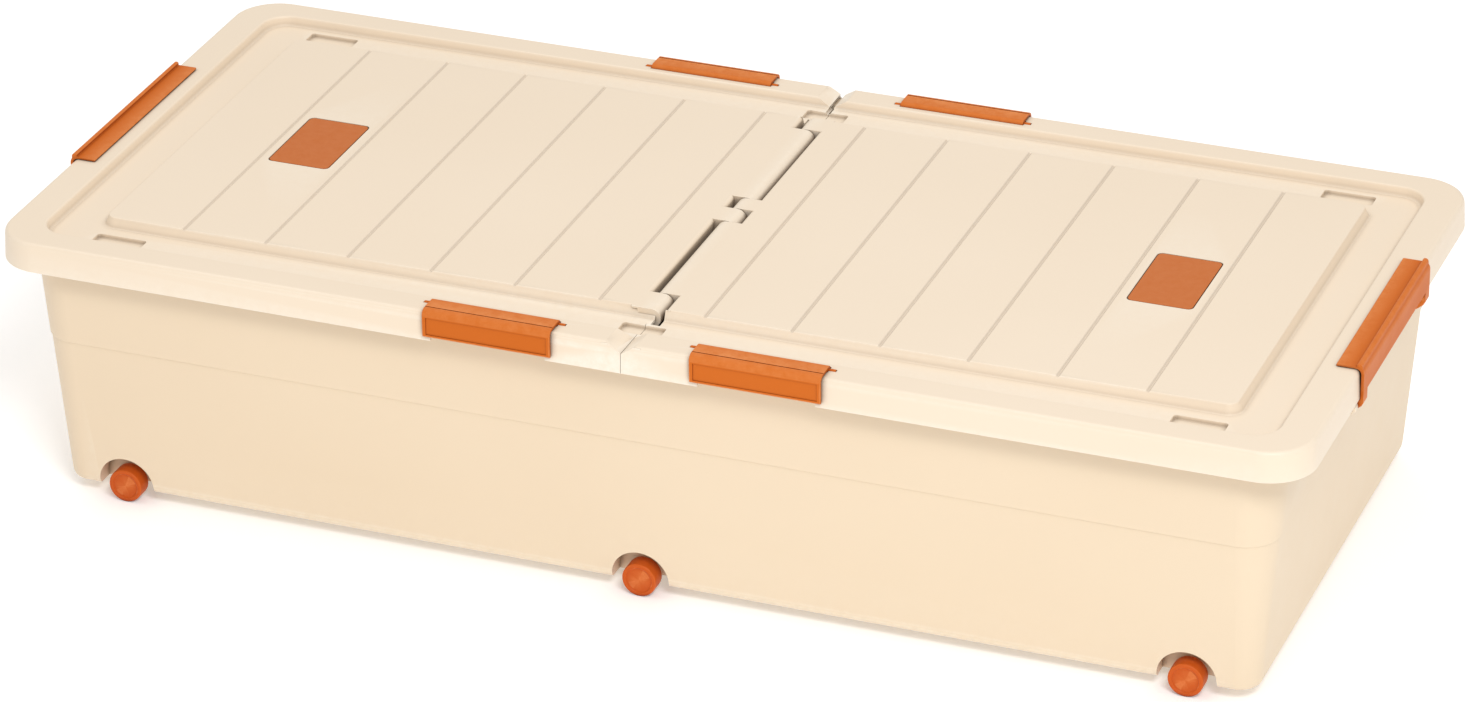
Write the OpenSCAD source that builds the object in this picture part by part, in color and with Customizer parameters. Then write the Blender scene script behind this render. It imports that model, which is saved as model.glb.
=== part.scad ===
// Under bed storage box on six small wheels.
// The lid is two halves that fold up about a pin across the middle.
// Millimetres. Origin on the floor under the middle of the box, X along its length, Z up.

/* [Overall size] */
// Length of the lid over its skirt
lid_l = 949; // [940:1:960]
// Width of the lid over its skirt
lid_w = 435; // [428:1:442]
// Height from the ground to the top of the lid
box_h = 207; // [200:1:215]

/* [Tub] */
// How far the tub's corner centres sit inside the lid's ends
corner_in_x = 50.5; // [46:0.5:54]
// How far the tub's corner centres sit inside the lid's sides
corner_in_y = 44; // [42:0.5:46]
// Thickness of the tub's walls
tub_wall = 2.4; // [1.8:0.2:2.8]
// Corner radius of the tub above its rounded foot
foot_r = 16.5; // [14:0.5:18]
// Corner radius of the tub under the step
under_step_r = 24.8; // [23:0.2:26]
// Corner radius of the tub under the rim
top_r = 31.3; // [29:0.1:32]
// Height of the underside of the floor above the ground
floor_z = 9.5; // [8:0.5:11]
// Height at which the wall steps out
step_z = 124; // [100:1:140]
// How far the wall steps out
step_out = 1; // [0.6:0.2:1.6]

/* [Lid] */
// Thickness of the lid's skin
skin = 2; // [1.6:0.2:2.4]
// Depth of the skirt from the top of the lid
skirt_h = 21.5; // [20:0.5:23]
// Outer radius of the lid's corners
lid_r = 34; // [30:1:38]
// Depth of the channel around the raised panel
channel_d = 7; // [6:0.5:7.5]
// Half length of the raised panel at its top
panel_x = 411; // [408:1:413]
// Half width of the raised panel at its top
panel_y = 158.7; // [156:0.1:160]
// Distance from one groove to the next
groove_gap = 62.5; // [60:0.5:64]
// Distance of the first groove from the middle
groove_first = 38.4; // [34:0.1:44]
// Width of a groove
groove_w = 3; // [2:0.5:6]
// Depth of a groove
groove_d = 1.2; // [0.6:0.2:1.2]

/* [Hinge] */
// Radius of the hinge knuckles
knuckle_r = 6.9; // [6:0.1:7]
// Radius of the hinge pin
pin_r = 2; // [1.5:0.1:2.5]
// Half width of the notch in the rim over the hinge
notch_w = 11.3; // [10:0.1:14]

/* [Latches] */
// Length of a side latch
side_latch_l = 93.5; // [80:0.5:100]
// Distance of a side latch's centre from the middle of the box
side_latch_x = 97; // [75:1:120]
// Length of an end latch
end_latch_l = 167; // [150:1:180]
// Thickness of a latch
latch_t = 2.2; // [1.8:0.1:2.6]
// Radius of a latch's pivot pins
latch_pin_r = 1.8; // [1.5:0.1:2]

/* [Inserts] */
// Size of the inlay along the box
insert_x = 46.2; // [40:0.1:50]
// Size of the inlay across the box
insert_y = 75; // [65:1:85]
// Distance of an inlay's centre from the middle
insert_at = 320.3; // [315:0.1:325]

/* [Wheels] */
// Radius of a wheel
wheel_r = 12.5; // [11.5:0.5:13]
// Width of a wheel
wheel_w = 12.8; // [11:0.1:13.5]
// Distance of the end wheels from the middle
wheel_x = 392; // [370:1:396]
// Half width over the wheels' outer faces
wheel_face = 192.8; // [191:0.1:194]
// Radius of a wheel arch
arch_r = 21; // [18:0.5:22]
// Radius of an axle
axle_r = 2.5; // [2:0.1:3]

/* [Hidden] */
$fn = 96;
cream = "#F3E4D0";
terracotta = "#C8693A";
steel = "#B9BCC0";
big = 2 * lid_l;

lx = lid_l / 2;
ly = lid_w / 2;
skirt_z = box_h - skirt_h;
channel_z = box_h - channel_d;
axis_z = channel_z;
half_turn = 180;

// Tub rim: a flange under the lid, with a lip turned down at its edge
corner_x = lx - corner_in_x;
corner_y = ly - corner_in_y;
flange_z = channel_z - skin + 0.6;
flange_t = 2.5;
flange_r = 33;
flange_in = 3;
lip_t = 2;
lip_h = 9.6;
floor_t = 2.5;
foot_z = floor_z + 7;

// Rounded foot of the tub as [inset from the foot radius, height over the floor's underside]
foot_curve = [[6.5, 0], [3.2, 0.9], [1, 3.2]];

// Lid rim
skirt_lean = 1;
shoulder_z = box_h - 4.5;
rim_x = 447;
rim_y = 194.4;
rim_r = 20;
rim_lean = 1.6;
panel_r = 7;
riser_run = 3.4;
rib_x = lx - 10.5;
rib_y = ly - 7.5;
rib_t = 2;
rib_gap = 0.4;

// Shallow pockets in the channel, over the wheels, as [middle, half length]
pocket_at = [[-wheel_x, 18.6], [0, 15.5]];
pocket_w = 14;
pocket_y = 179;
pocket_d = 3;

// Hinge knuckles: the seams between them along Y. The left half has the first, third and fifth,
// and the right half the others. A hem turns down along the edge that faces them, and beside its
// first knuckle each half has an ear of the channel's floor that fills the other's cut.
hinge_end = 161;
seams = [-hinge_end, -136, -18, 3, 21, 140, hinge_end];
knuckle_gap = 0.2;
edge_gap = knuckle_r + 2.9;
edge_end = hinge_end + 9;
ear_x = 3;
hem_t = 2;
hem_low = channel_z - 4;
pin_play = 0.05;
pin_end = hinge_end - 3;

// Where the two rims meet in front of and behind the hinge
half_gap = 0.15;
bridge_l = 14;

// Side latch pivot, measured from the middle plane
side_pivot_y = ly - 14.5;
side_pivot_z = box_h - 1;
side_barrel_r = 3.6;
barrel_play = 0.4;
stub = 5;
pad_r = 5;
latch_gap = 0.3;
latch_top = box_h + 0.4 + latch_t;
latch_low = box_h - 18;
side_plate_y = ly + latch_gap + latch_t;
latch_edge_r = 5;
hook_reach = 2.9;
hook_h = 2;
hook_cut_l = 84;
hook_cut_z = box_h - 11;

// End latch pivot
end_pivot_x = lx - 4.5;
end_pivot_z = skirt_z - 5.5;
end_plate_x = lx + latch_gap + latch_t;
end_inner_x = lx - 17;
end_edge_r = 6;
end_lip_r = 2.2;
end_lip_h = 1.6;
end_lip_in = 3.6;
end_lip_wall = 5.2;
end_flange_drop = 0.9;
end_barrel_r = 3.8;
leg_l = 10;
lug_l = 6;
lug_gap = 0.5;
lug_top = skirt_z - 1;

// Wheels
house_y = 175;
house_t = 2;
boss_r = 5.5;
boss_out = 179.5;
boss_in = 166;
boss_end_t = 2;
wheel_back = wheel_face - wheel_w;
axle_play = 0.08;
axle_hold = 0.02;
hub_t = 3;

// Snap bead inside a wheel's bore, as [distance from its inner face, width, height], and its groove
bead = [7.5, 1, 0.28];
bead_play = 0.2;

// Inlays
inlay_t = 1.2;
inlay_r = 4;
inlay_play = 0.1;
peg_r = 2;
peg_x = 15;
peg_y = 28;
peg_l = 3;
backing = 1.3;

// A flat rounded rectangle
module outline(hx, hy, r) {
  square([2 * hx, 2 * (hy - r)], center = true);
  square([2 * (hx - r), 2 * hy], center = true);
  for (sx = [-1, 1], sy = [-1, 1]) translate([sx * (hx - r), sy * (hy - r)]) circle(r);
}

module plate(hx, hy, r, z, h) {
  translate([0, 0, z]) linear_extrude(h) outline(hx, hy, r);
}

module ring(hx, hy, r, t, z, h) {
  translate([0, 0, z]) linear_extrude(h) difference() {
    outline(hx, hy, r);
    outline(hx - t, hy - t, r - t);
  }
}

// A rounded box with sloping sides. Its corners are centred at cx, cy and edge lists
// [corner radius, height] from the bottom up.
module sloped(cx, cy, edge) {
  last = len(edge) - 1;
  for (sx = [-1, 1], sy = [-1, 1]) translate([sx * cx, sy * cy, 0])
    rotate_extrude() polygon(concat([[0, edge[0][1]]], edge, [[0, edge[last][1]]]));
  rotate([90, 0, 0]) linear_extrude(2 * cy, center = true) mirrored_profile(cx, edge);
  rotate([90, 0, 90]) linear_extrude(2 * cx, center = true) mirrored_profile(cy, edge);
}

module mirrored_profile(c, edge) {
  last = len(edge) - 1;
  polygon(concat(
    [for (e = edge) [c + e[0], e[1]]],
    [for (i = [last:-1:0]) [-c - edge[i][0], edge[i][1]]]
  ));
}

// A cylinder along Y from y0 to y1
module along_y(r, x, z, y0, y1) {
  translate([x, y0, z]) rotate([-90, 0, 0]) cylinder(r = r, h = y1 - y0);
}

// A cylinder along X from x0 to x1
module along_x(r, y, z, x0, x1) {
  translate([x0, y, z]) rotate([0, 90, 0]) cylinder(r = r, h = x1 - x0);
}

module block(x0, x1, y0, y1, z0, z1) {
  translate([x0, y0, z0]) cube([x1 - x0, y1 - y0, z1 - z0]);
}

// Copies at the six wheel places, mirrored for the front row
module at_wheels() {
  for (side = [0, 1]) mirror([0, side, 0]) for (x = [-wheel_x, 0, wheel_x]) translate([x, 0, 0]) children();
}

// ---- Tub ----

module tub_outside() {
  sloped(corner_x, corner_y, concat(
    [for (c = foot_curve) [foot_r - c[0], floor_z + c[1]]],
    [[foot_r, foot_z], [under_step_r, step_z], [under_step_r + step_out, step_z + step_out], [top_r, flange_z]]
  ));
}

module tub_inside() {
  sloped(corner_x, corner_y, concat(
    [for (c = foot_curve) [foot_r - tub_wall - c[0], floor_z + floor_t + c[1]]],
    [
      [foot_r - tub_wall, foot_z + floor_t], [under_step_r - tub_wall, step_z],
      [under_step_r + step_out - tub_wall, step_z + step_out], [top_r - tub_wall, flange_z + 1]
    ]
  ));
}

module tub_rim() {
  plate(lx - flange_in, ly - flange_in, flange_r, flange_z - flange_t, flange_t);
  ring(lx - flange_in, ly - flange_in, flange_r, lip_t, flange_z - lip_h, lip_h);
}

// Housings round the wheels, open below and outward
module wheel_house() {
  along_y(arch_r + house_t, 0, wheel_r, house_y - house_t, wheel_face);
  block(-arch_r - house_t, arch_r + house_t, house_y - house_t, wheel_face, floor_z, wheel_r);
}

module wheel_space() {
  along_y(arch_r, 0, wheel_r, house_y, ly);
  block(-arch_r, arch_r, house_y, ly, 0, wheel_r);
}

// Lugs under the rim at each end that carry the end latches
module end_lugs() {
  y0 = end_latch_l / 2 + lug_gap;
  for (sx = [0, 1], sy = [0, 1]) mirror([sx, 0, 0]) mirror([0, sy, 0]) {
    along_y(end_barrel_r, end_pivot_x, end_pivot_z, y0, y0 + lug_l);
    block(corner_x + top_r - 2, end_pivot_x, y0, y0 + lug_l, end_pivot_z - end_barrel_r, lug_top);
    block(corner_x + top_r - 2, lx - flange_in - 1, y0, y0 + lug_l, lug_top - 1, flange_z - 1);
  }
}

module tub() {
  color(cream) difference() {
    union() {
      difference() {
        union() {
          difference() {
            union() {
              tub_outside();
              tub_rim();
            }
            tub_inside();
          }
          intersection() {
            tub_outside();
            at_wheels() wheel_house();
          }
        }
        at_wheels() wheel_space();
      }
      at_wheels() along_y(boss_r, 0, wheel_r, boss_in, boss_out);
      end_lugs();
    }
    at_wheels() along_y(axle_r + axle_hold, 0, wheel_r, boss_in + boss_end_t, boss_out + 1);
    for (sx = [-1, 1], sy = [0, 1]) mirror([0, sy, 0])
      along_y(latch_pin_r + pin_play, sx * end_pivot_x, end_pivot_z, end_latch_l / 2, ly);
  }
}

// ---- Lid ----

module pockets(grow, z0, z1) {
  for (side = [0, 1]) mirror([0, side, 0]) for (p = pocket_at)
    block(p[0] - p[1] - grow, p[0] + p[1] + grow, pocket_y - pocket_w / 2 - grow, pocket_y + pocket_w / 2 + grow,
      z0, z1);
}

module at_side_latch() {
  for (side = [0, 1]) mirror([0, side, 0]) translate([-side_latch_x, 0, 0]) children();
}

module at_insert() {
  translate([-insert_at, 0, 0]) children();
}

module pegs(r, z, h) {
  for (px = [-1, 1], py = [-1, 1]) translate([px * peg_x, py * peg_y, z]) cylinder(r = r, h = h);
}

// Skirt, rim and the wall down to the channel
module lid_edge() {
  wall_r = rim_r + skin;
  difference() {
    sloped(lx - lid_r, ly - lid_r, [
      [lid_r, skirt_z], [lid_r - skirt_lean, shoulder_z],
      [lid_r - skirt_lean - 1, box_h - 2], [lid_r - skirt_lean - 3.4, box_h]
    ]);
    sloped(lx - lid_r, ly - lid_r, [
      [lid_r - skin, skirt_z - 1], [lid_r - skin - skirt_lean, shoulder_z],
      [lid_r - skin - skirt_lean - 1.4, box_h - skin]
    ]);
  }
  plate(rim_x + skin, rim_y + skin, wall_r, channel_z - skin, channel_d + skin - 0.5);
}

// Under the rim: the rib that sits on the tub, the bridge over the notch at the hinge, the pads that
// carry the side latches and the bottoms of the pockets
module lid_underside() {
  ring(rib_x, rib_y, lid_r - 8, rib_t, flange_z + rib_gap, box_h - skin - flange_z);
  for (side = [0, 1]) mirror([0, side, 0])
    block(-bridge_l, 1, rim_y, ly - 1, flange_z + rib_gap, box_h - 1);
  at_side_latch() block(-side_latch_l / 2 - stub - 2, side_latch_l / 2 + stub + 2,
    side_pivot_y - pad_r, side_pivot_y + pad_r, side_pivot_z - side_barrel_r - 1.6, box_h - 1);
  pockets(skin, channel_z - pocket_d - skin, channel_z - 1);
}

// The raised panel, thicker under the inlay
module panel() {
  difference() {
    sloped(panel_x - panel_r, panel_y - panel_r, [
      [panel_r + riser_run, channel_z - skin], [panel_r + riser_run, channel_z],
      [panel_r + 0.6, box_h - 0.8], [panel_r - 0.4, box_h]
    ]);
    difference() {
      plate(panel_x - 1.5, panel_y - 1.5, panel_r - 1.5, channel_z - skin - 1, channel_d + 1);
      at_insert() plate(insert_x / 2 + 3, insert_y / 2 + 3, inlay_r, box_h - skin - backing, 2 * skin);
    }
  }
}

module lid_cuts() {
  half = side_latch_l / 2;
  pockets(0, channel_z - pocket_d, box_h);
  for (k = [0:5]) translate([-groove_first - k * groove_gap, 0, 0])
    block(-groove_w / 2, groove_w / 2, -panel_y - riser_run, panel_y + riser_run, box_h - groove_d, box_h + 1);
  at_insert() {
    plate(insert_x / 2 + inlay_play, insert_y / 2 + inlay_play, inlay_r, box_h - inlay_t - inlay_play, skin);
    pegs(peg_r + inlay_play, channel_z - skin, channel_d + skin);
  }
  at_side_latch() {
    along_x(side_barrel_r + barrel_play, side_pivot_y, side_pivot_z, -half - barrel_play, half + barrel_play);
    along_x(latch_pin_r + pin_play, side_pivot_y, side_pivot_z, -half - stub - barrel_play, half + stub + barrel_play);
    block(-hook_cut_l / 2, hook_cut_l / 2, ly - 5, ly + 1, skirt_z - 1, hook_cut_z);
  }
}

// Space kept by the left half on its own side of the hinge
module left_space() {
  block(-big, -edge_gap, -edge_end, edge_end, 0, big);
  block(-big, -half_gap, -edge_end, -hinge_end, 0, big);
  block(-big, ear_x, -edge_end + knuckle_gap, -hinge_end, 0, big);
  for (side = [0, 1]) mirror([0, side, 0]) translate([0, lid_w, 0]) rotate([90, 0, 0])
    linear_extrude(lid_w - edge_end) polygon([
      [-big, 0], [-half_gap, 0], [-half_gap, axis_z], [-notch_w, box_h], [-notch_w, big], [-big, big]
    ]);
}

// The hem along the hinge, lower where it crosses the channel
module hem() {
  block(-edge_gap - hem_t, -edge_gap, -hinge_end, edge_end, hem_low, channel_z - 0.5);
  block(-edge_gap - hem_t, -edge_gap, -panel_y, panel_y, hem_low, box_h - 1);
}

// Knuckles between each pair of seams in spans, with the flat tongues that carry them
module knuckles(spans) {
  for (k = spans) {
    along_y(knuckle_r, 0, axis_z, k[0] + knuckle_gap, k[1] - knuckle_gap);
    block(-edge_gap - hem_t, 0, k[0] + knuckle_gap, k[1] - knuckle_gap, axis_z - skin, axis_z + knuckle_r);
  }
}

// Left half of the lid, with its knuckles at the spans given and the pin's bore from y0 to y1
module lid_half(spans, y0, y1) {
  color(cream) difference() {
    union() {
      intersection() {
        difference() {
          union() {
            difference() {
              union() {
                lid_edge();
                lid_underside();
              }
              sloped(rim_x - rim_r, rim_y - rim_r, [[rim_r - rim_lean, channel_z], [rim_r + rim_lean / 7, box_h + 1]]);
              plate(panel_x - 1.5, panel_y - 1.5, panel_r - 1.5, channel_z - 2 * skin, 3 * skin);
            }
            panel();
          }
          lid_cuts();
        }
        left_space();
      }
      hem();
      knuckles(spans);
    }
    along_y(pin_r + pin_play, 0, axis_z, y0, y1);
  }
}

module lid_left() {
  lid_half([for (i = [0, 2, 4]) [seams[i], seams[i + 1]]], -pin_end - 0.5, ly);
}

// The right half is the left one turned round, but for where its knuckles are. The pin goes in
// from the back.
module lid_right() {
  rotate([0, 0, half_turn]) lid_half([for (i = [1, 3, 5]) [-seams[i + 1], -seams[i]]], -ly, pin_end + 0.5);
}

module hinge_pin() {
  color(steel) along_y(pin_r, 0, axis_z, -pin_end, pin_end);
}

// ---- Latches ----

// Bent plate of a latch in section: a flange from x0 over the rim, a round edge, and a plate down to z0
module latch_section(x0, x1, z0, r) {
  difference() {
    union() {
      translate([x0, latch_top - latch_t]) square([x1 - r - x0, latch_t]);
      translate([x1 - r, latch_top - r]) circle(r);
      translate([x1 - latch_t, z0]) square([latch_t, latch_top - r - z0]);
    }
    translate([x1 - r, latch_top - r]) circle(r - latch_t);
    translate([x1 - 2 * r, latch_top - 2 * r]) square([r, 2 * r - latch_t]);
    translate([x1 - 2 * r, latch_top - 2 * r]) square([2 * r - latch_t, r]);
  }
}

// Side latch for the back right place: it turns in the rim and its plate hangs outside the skirt
module side_latch() {
  half = side_latch_l / 2;
  color(terracotta) translate([side_latch_x, 0, 0]) {
    along_x(side_barrel_r, side_pivot_y, side_pivot_z, -half, half);
    along_x(latch_pin_r, side_pivot_y, side_pivot_z, -half - stub, half + stub);
    translate([-half, 0, 0]) rotate([90, 0, 90]) linear_extrude(2 * half)
      latch_section(side_pivot_y, side_plate_y, latch_low, latch_edge_r);
    block(-hook_cut_l / 2 + 1, hook_cut_l / 2 - 1, side_plate_y - latch_t - hook_reach, side_plate_y - 1,
      latch_low, latch_low + hook_h);
  }
}

// End latch in section: its flange is a little lower, and a round lip stands along its outer edge
module end_latch_section() {
  lip_z = latch_top + end_lip_h - end_lip_r;
  difference() {
    union() {
      latch_section(end_inner_x, end_plate_x, latch_low, end_edge_r);
      translate([end_plate_x - end_lip_in, lip_z]) circle(end_lip_r);
      polygon([
        [end_plate_x - end_lip_wall, lip_z], [end_plate_x - end_lip_in + end_lip_r, lip_z],
        [end_plate_x - 1.2, latch_top - 3.2], [end_plate_x - end_lip_wall, latch_top - latch_t + 0.3]
      ]);
    }
    translate([end_inner_x - 1, latch_top - end_flange_drop])
      square([end_plate_x - end_lip_wall - end_inner_x + 1, end_flange_drop + end_lip_h + 1]);
  }
}

// End latch for the right end: it stands on two legs that turn on the tub's lugs
module end_latch() {
  half = end_latch_l / 2;
  color(terracotta) {
    translate([0, half, 0]) rotate([90, 0, 0]) linear_extrude(2 * half) end_latch_section();
    for (side = [0, 1]) mirror([0, side, 0]) {
      translate([0, half, 0]) rotate([90, 0, 0]) linear_extrude(leg_l) {
        translate([end_pivot_x, end_pivot_z]) circle(end_barrel_r);
        polygon([
          [end_plate_x - latch_t, latch_low + 1], [end_plate_x - latch_t, skirt_z - 1],
          [end_pivot_x + 1, end_pivot_z + end_barrel_r - 0.4], [end_pivot_x + 1, end_pivot_z - end_barrel_r + 0.4],
          [end_plate_x, end_pivot_z + 1], [end_plate_x, latch_low + 1]
        ]);
      }
      along_y(latch_pin_r, end_pivot_x, end_pivot_z, half - 1, half + lug_gap + lug_l - 1);
    }
  }
}

module latch_back_right() {
  side_latch();
}

module latch_back_left() {
  mirror([1, 0, 0]) side_latch();
}

module latch_front_right() {
  mirror([0, 1, 0]) side_latch();
}

module latch_front_left() {
  rotate([0, 0, half_turn]) side_latch();
}

module latch_end_right() {
  end_latch();
}

module latch_end_left() {
  rotate([0, 0, half_turn]) end_latch();
}

// ---- Inlays ----

module inlay() {
  color(terracotta) {
    plate(insert_x / 2, insert_y / 2, inlay_r, box_h - inlay_t, inlay_t);
    pegs(peg_r, box_h - peg_l, peg_l - 0.5);
  }
}

module insert_left() {
  translate([-insert_at, 0, 0]) inlay();
}

module insert_right() {
  translate([insert_at, 0, 0]) inlay();
}

// ---- Wheels and axles for the back row; the front row is mirrored ----

module wheel() {
  bore_r = axle_r + axle_play;
  color(terracotta) translate([0, wheel_back, wheel_r]) rotate([-90, 0, 0]) rotate_extrude() polygon([
    [bore_r, 0], [wheel_r - 1, 0], [wheel_r, 1], [wheel_r, wheel_w - 1.2],
    [wheel_r - 1.2, wheel_w], [wheel_r - 2.6, wheel_w], [wheel_r - 3.4, wheel_w - 0.8],
    [0, wheel_w - 0.8], [0, wheel_w - hub_t], [bore_r, wheel_w - hub_t],
    [bore_r, bead[0] + bead[1] + bead[2]], [bore_r - bead[2], bead[0] + bead[1]],
    [bore_r - bead[2], bead[0]], [bore_r, bead[0] - bead[2]]
  ]);
}

module axle() {
  tip = wheel_face - hub_t - 0.3;
  groove_y = wheel_back + bead[0] - bead[2] - bead_play;
  color(steel) {
    along_y(axle_r, 0, wheel_r, boss_in + boss_end_t + 0.2, groove_y);
    along_y(axle_r - bead[2], 0, wheel_r, groove_y - 1, tip - 0.5);
    along_y(axle_r, 0, wheel_r, groove_y + bead[1] + 2 * (bead[2] + bead_play), tip);
  }
}

module back(x) {
  translate([x, 0, 0]) children();
}

module front(x) {
  translate([x, 0, 0]) mirror([0, 1, 0]) children();
}

tub();
lid_left();
lid_right();
hinge_pin();
latch_front_left();
latch_front_right();
latch_back_left();
latch_back_right();
latch_end_left();
latch_end_right();
insert_left();
insert_right();
front(-wheel_x) wheel();  // wheel_front_left
front(0) wheel();  // wheel_front_middle
front(wheel_x) wheel();  // wheel_front_right
back(-wheel_x) wheel();  // wheel_back_left
back(0) wheel();  // wheel_back_middle
back(wheel_x) wheel();  // wheel_back_right
front(-wheel_x) axle();  // axle_front_left
front(0) axle();  // axle_front_middle
front(wheel_x) axle();  // axle_front_right
back(-wheel_x) axle();  // axle_back_left
back(0) axle();  // axle_back_middle
back(wheel_x) axle();  // axle_back_right
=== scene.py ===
"""Looks of the under bed storage box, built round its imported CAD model.

Shapes are worked out in millimetres in the frame of the CAD model: origin on the ground under the
middle, +X to the right end, +Y to the back, +Z up. Each mesh is scaled to metres when it is finished.
"""
import math

import bmesh
import bpy
from mathutils import Matrix, Vector


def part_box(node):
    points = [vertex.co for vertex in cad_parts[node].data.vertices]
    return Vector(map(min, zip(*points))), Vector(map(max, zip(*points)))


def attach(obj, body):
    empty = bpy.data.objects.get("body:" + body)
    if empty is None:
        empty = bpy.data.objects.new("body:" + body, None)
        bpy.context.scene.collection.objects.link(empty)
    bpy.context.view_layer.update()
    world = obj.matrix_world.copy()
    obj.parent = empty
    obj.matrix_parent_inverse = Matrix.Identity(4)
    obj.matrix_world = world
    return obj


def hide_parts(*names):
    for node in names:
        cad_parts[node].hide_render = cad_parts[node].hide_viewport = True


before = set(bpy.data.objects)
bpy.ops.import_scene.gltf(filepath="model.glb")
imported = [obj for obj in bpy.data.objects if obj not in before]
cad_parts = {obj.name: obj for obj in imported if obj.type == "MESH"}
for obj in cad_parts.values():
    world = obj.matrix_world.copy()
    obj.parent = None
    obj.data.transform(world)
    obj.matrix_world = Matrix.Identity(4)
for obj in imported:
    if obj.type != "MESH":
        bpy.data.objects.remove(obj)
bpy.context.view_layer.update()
MM = 0.001

# Overall sizes, read back from the frame's nodes where they are simple boxes
LID_BOX = [tuple(c / MM for c in corner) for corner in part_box("lid_right")]
TOP = LID_BOX[1][2]
LX, LY = LID_BOX[1][0], LID_BOX[1][1]
SKIRT_Z = LID_BOX[0][2]
CHANNEL_Z = TOP - 7.0
SKIN = 2.0
FLANGE_Z = CHANNEL_Z - SKIN + 0.6
CORNER_STEPS = 14


# ---------------------------------------------------------------- mesh helpers

def new_object(name, verts, faces):
    """A linked mesh object from plain lists, with its faces turned outward."""
    mesh = bpy.data.meshes.new(name)
    mesh.from_pydata([tuple(v) for v in verts], [], faces)
    obj = bpy.data.objects.new(name, mesh)
    bpy.context.scene.collection.objects.link(obj)
    bm = bmesh.new()
    bm.from_mesh(mesh)
    bmesh.ops.recalc_face_normals(bm, faces=bm.faces)
    bm.to_mesh(mesh)
    bm.free()
    return obj


def loft(name, rings, loop=False):
    """Quads between rings of equal length, closed at both ends, or with the last ring joined to the first."""
    count = len(rings[0])
    verts = [v for ring in rings for v in ring]
    faces = []
    bands = len(rings) if loop else len(rings) - 1
    for k in range(bands):
        a, b = k * count, ((k + 1) % len(rings)) * count
        for i in range(count):
            j = (i + 1) % count
            faces.append((a + i, a + j, b + j, b + i))
    if not loop:
        faces.append(tuple(reversed(range(count))))
        faces.append(tuple(range((len(rings) - 1) * count, len(rings) * count)))
    return new_object(name, verts, faces)


def soften(points, steps=4):
    """Rounds a polyline of any dimension. Each point's last number is how far back its corner is cut."""
    out = []
    last = len(points) - 1
    for i, point in enumerate(points):
        v, cut = Vector(point[:-1]), point[-1]
        if cut <= 0 or i in (0, last):
            out.append(v)
            continue
        before, after = Vector(points[i - 1][:-1]), Vector(points[i + 1][:-1])
        start = v + (before - v) * min(0.5, cut / (before - v).length)
        end = v + (after - v) * min(0.5, cut / (after - v).length)
        for k in range(steps + 1):
            t = k / steps
            out.append(start * (1 - t) ** 2 + v * (2 * t * (1 - t)) + end * t ** 2)
    return out


def oblong(hx, hy, r, z, cx=0.0, cy=0.0, steps=CORNER_STEPS):
    """A rounded rectangle as a ring of points at height z."""
    ring = []
    for quarter, (sx, sy) in enumerate(((1, 1), (-1, 1), (-1, -1), (1, -1))):
        for i in range(steps + 1):
            a = math.pi / 2 * (quarter + i / steps)
            ring.append((cx + sx * (hx - r) + r * math.cos(a), cy + sy * (hy - r) + r * math.sin(a), z))
    return ring


def u_ring(hx, hy, r, z, end, steps=CORNER_STEPS):
    """The left half of a rounded rectangle, open at x = end, from the front round to the back."""
    ring = [(end, -hy, z)]
    for quarter, sy in enumerate((-1, 1)):
        for i in range(steps + 1):
            a = math.pi * 1.5 - math.pi / 2 * (quarter + i / steps)
            ring.append((-(hx - r) + r * math.cos(a), sy * (hy - r) + r * math.sin(a), z))
    return ring + [(end, hy, z)]


def pad(name, cx, cy, hx, hy, r, profile, steps=8):
    """A rounded block. The profile lists (how far the outline is drawn in, height)."""
    return loft(name, [oblong(hx - i, hy - i, max(0.05, r - i), z, cx, cy, steps) for i, z in profile])


def place(axis, u, v, w):
    """Puts section coordinates u, v and the distance w along an axis in order."""
    return {"X": (w, u, v), "Y": (u, w, v), "Z": (u, v, w)}[axis]


def prism(name, section, axis, start, end):
    """A section pushed along an axis."""
    return loft(name, [[place(axis, u, v, w) for u, v in section] for w in (start, end)])


def turned(name, axis, centre, profile, steps=48):
    """A round body about centre, in section coordinates. The profile lists (radius, place along the axis)."""
    rings = []
    for r, w in profile:
        rings.append([place(axis, centre[0] + r * math.cos(2 * math.pi * i / steps),
                            centre[1] + r * math.sin(2 * math.pi * i / steps), w) for i in range(steps)])
    return loft(name, rings)


def rod(name, axis, centre, r, start, end, edge):
    """A cylinder with broken edges."""
    return turned(name, axis, centre, [
        (r - edge, start), (r - edge * 0.3, start + edge * 0.3), (r, start + edge),
        (r, end - edge), (r - edge * 0.3, end - edge * 0.3), (r - edge, end)], 32)


def block(name, low, high):
    """A box between two corners."""
    x0, y0, z0 = low
    x1, y1, z1 = high
    return prism(name, [(x0, y0), (x1, y0), (x1, y1), (x0, y1)], "Z", z0, z1)


def arc(cx, cy, r, start, end, steps):
    """Points on an arc, in degrees."""
    return [(cx + r * math.cos(math.radians(start + (end - start) * k / steps)),
             cy + r * math.sin(math.radians(start + (end - start) * k / steps))) for k in range(steps + 1)]


def bake(obj):
    """Applies an object's modifiers to its mesh."""
    graph = bpy.context.evaluated_depsgraph_get()
    mesh = bpy.data.meshes.new_from_object(obj.evaluated_get(graph))
    obj.modifiers.clear()
    obj.data = mesh
    return obj


def carve(obj, how, *tools):
    """Joins (UNION), cuts (DIFFERENCE) or trims (INTERSECT) an object with others, one by one."""
    for tool in tools:
        mod = obj.modifiers.new("carve", "BOOLEAN")
        mod.operation, mod.solver, mod.object = how, "EXACT", tool
        bake(obj)
        bpy.data.objects.remove(tool)
    return obj


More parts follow.
